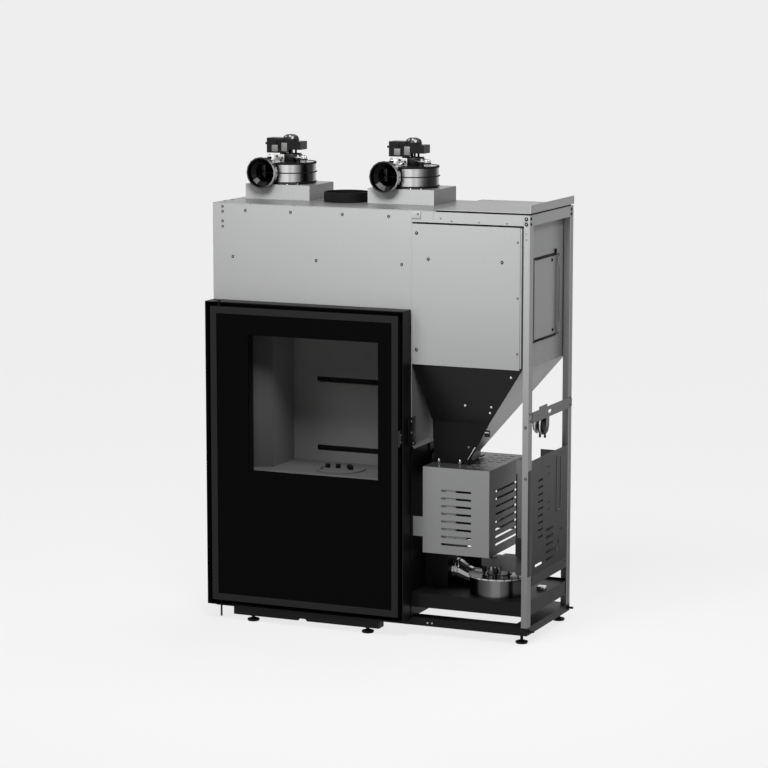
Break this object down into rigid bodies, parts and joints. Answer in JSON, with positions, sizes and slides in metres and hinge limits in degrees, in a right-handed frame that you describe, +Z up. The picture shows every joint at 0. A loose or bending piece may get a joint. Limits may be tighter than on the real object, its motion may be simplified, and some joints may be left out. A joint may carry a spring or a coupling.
{
  "type": "pellet fireplace insert",
  "caption": "Pellet fireplace insert: glazed black door over the firebox bay, hot-air blowers on top, and an open bay with pellet hopper, auger, fume fan and control panel.",
  "frame": {"origin": "centre of the bounding box in plan, on the floor under the feet", "axes": "+X to the right seen from the front (hopper side), +Y to the back, +Z up; the door faces -Y"},
  "size_m": [1.118, 0.457, 1.5769],
  "materials": {
    "galvanised": "galvanised sheet with a fine matt grain",
    "guard_grey": "mid grey satin sheet",
    "black_steel": "matt black powder coat",
    "cast_iron": "raw cast iron",
    "door_frame": "dark grey satin border",
    "door_glass": "black printed ceramic glass with a clear window",
    "rope_seal": "flat black rope seal",
    "liner": null,
    "bright_steel": "bright pressed steel",
    "motor_black": "black lacquered core and coil",
    "plastic_black": "black moulded plastic"
  },
  "bodies": {
    "frame": {"ash_pan": "black_steel", "auger_gearmotor": "motor_black", "auger_guard": "guard_grey", "auger_housing": "black_steel", "base_frame": "black_steel", "blower_housing_left": "bright_steel", "blower_housing_right": "bright_steel", "blower_motor_left": "motor_black", "blower_motor_right": "motor_black", "blower_plinth_left": "galvanised", "blower_plinth_right": "galvanised", "casing_front_panel": "galvanised", "casing_left_panel": "galvanised", "casing_rear_panel": "galvanised", "casing_top_panel": "galvanised", "control_lower_rail": "black_steel", "control_side_panel": "galvanised", "door_hinge_pin": "bright_steel", "door_surround": "black_steel", "fan_tray": "black_steel", "firebox_body": "black_steel", "firebox_side_shield": "galvanised", "flue_collar": "black_steel", "front_support_rail": "black_steel", "fume_duct": "bright_steel", "fume_fan_housing": "bright_steel", "fume_fan_motor": "motor_black", "hearth_slab": "liner", "hopper_body": "galvanised", "hopper_front_cover": "galvanised", "liner_back": "liner", "liner_left": "liner", "liner_right": "liner", "lower_partition": "black_steel", "post_front_right": "galvanised", "post_rear_right": "galvanised", "pressure_switch": "plastic_black", "side_crossbar": "galvanised", "smoke_box": "black_steel", "top_rail_front": "galvanised", "top_rail_rear": "galvanised", "top_rail_side": "galvanised"},
    "door": {"door_leaf": "door_frame", "door_glass": "door_glass", "door_gasket": "rope_seal"},
    "latch": {"door_latch": "bright_steel"},
    "pot": {"burn_pot": "cast_iron"},
    "auger": {"auger_screw": "bright_steel"},
    "fume_wheel": {"fume_fan_wheel": "bright_steel"},
    "blower_wheel_l": {"blower_wheel_left": "bright_steel"},
    "blower_wheel_r": {"blower_wheel_right": "bright_steel"},
    "hatch": {"hopper_hatch": "galvanised"},
    "lid": {"hopper_lid": "galvanised"},
    "foot_a": {"foot_support_left": "black_steel"},
    "foot_b": {"foot_support_right": "black_steel"},
    "foot_c": {"foot_front_right": "black_steel"},
    "foot_d": {"foot_rear_right": "black_steel"},
    "foot_e": {"foot_rear_left": "black_steel"}
  },
  "joints": [
    {"name": "door_swing", "type": "hinge", "parent": "frame", "child": "door", "pos_m": [-0.517, -0.2115, 0.064], "axis": [0, 0, -1], "range_deg": [0, 100]},
    {"name": "latch_slide", "type": "slide", "parent": "door", "child": "latch", "axis": [0, 0, 1], "range_m": [0, 0.012]},
    {"name": "burn_pot_lift", "type": "slide", "parent": "frame", "child": "pot", "axis": [0, 0, 1], "range_m": [0, 0.06]},
    {"name": "auger_spin", "type": "hinge", "parent": "frame", "child": "auger", "pos_m": [0.241, 0.0285, 0.469], "axis": [-0.809, 0, 0.5878], "continuous": true},
    {"name": "fume_fan_spin", "type": "hinge", "parent": "frame", "child": "fume_wheel", "pos_m": [0.403, -0.0525, 0.1363], "axis": [0, 0, 1], "continuous": true},
    {"name": "blower_left_spin", "type": "hinge", "parent": "frame", "child": "blower_wheel_l", "pos_m": [-0.409, 0.0995, 1.4166], "axis": [0, 0, 1], "continuous": true},
    {"name": "blower_right_spin", "type": "hinge", "parent": "frame", "child": "blower_wheel_r", "pos_m": [0.031, 0.0995, 1.4166], "axis": [0, 0, 1], "continuous": true},
    {"name": "hatch_swing", "type": "hinge", "parent": "frame", "child": "hatch", "pos_m": [0.5251, 0.1345, 1.088], "axis": [0, 0, 1], "range_deg": [0, 100]},
    {"name": "hopper_lid_swing", "type": "hinge", "parent": "frame", "child": "lid", "pos_m": [0.225, 0.228, 1.3685], "axis": [-1, 0, 0], "range_deg": [0, 85]},
    {"name": "foot_support_left_turn", "type": "hinge", "parent": "frame", "child": "foot_a", "pos_m": [-0.403, -0.2045, 0], "axis": [0, 0, 1], "continuous": true},
    {"name": "foot_support_right_turn", "type": "hinge", "parent": "frame", "child": "foot_b", "pos_m": [0.008, -0.2045, 0], "axis": [0, 0, 1], "continuous": true},
    {"name": "foot_front_right_turn", "type": "hinge", "parent": "frame", "child": "foot_c", "pos_m": [0.5135, -0.139, 0], "axis": [0, 0, 1], "continuous": true},
    {"name": "foot_rear_right_turn", "type": "hinge", "parent": "frame", "child": "foot_d", "pos_m": [0.5135, 0.201, 0], "axis": [0, 0, 1], "continuous": true},
    {"name": "foot_rear_left_turn", "type": "hinge", "parent": "frame", "child": "foot_e", "pos_m": [-0.5315, 0.201, 0], "axis": [0, 0, 1], "continuous": true}
  ]
}
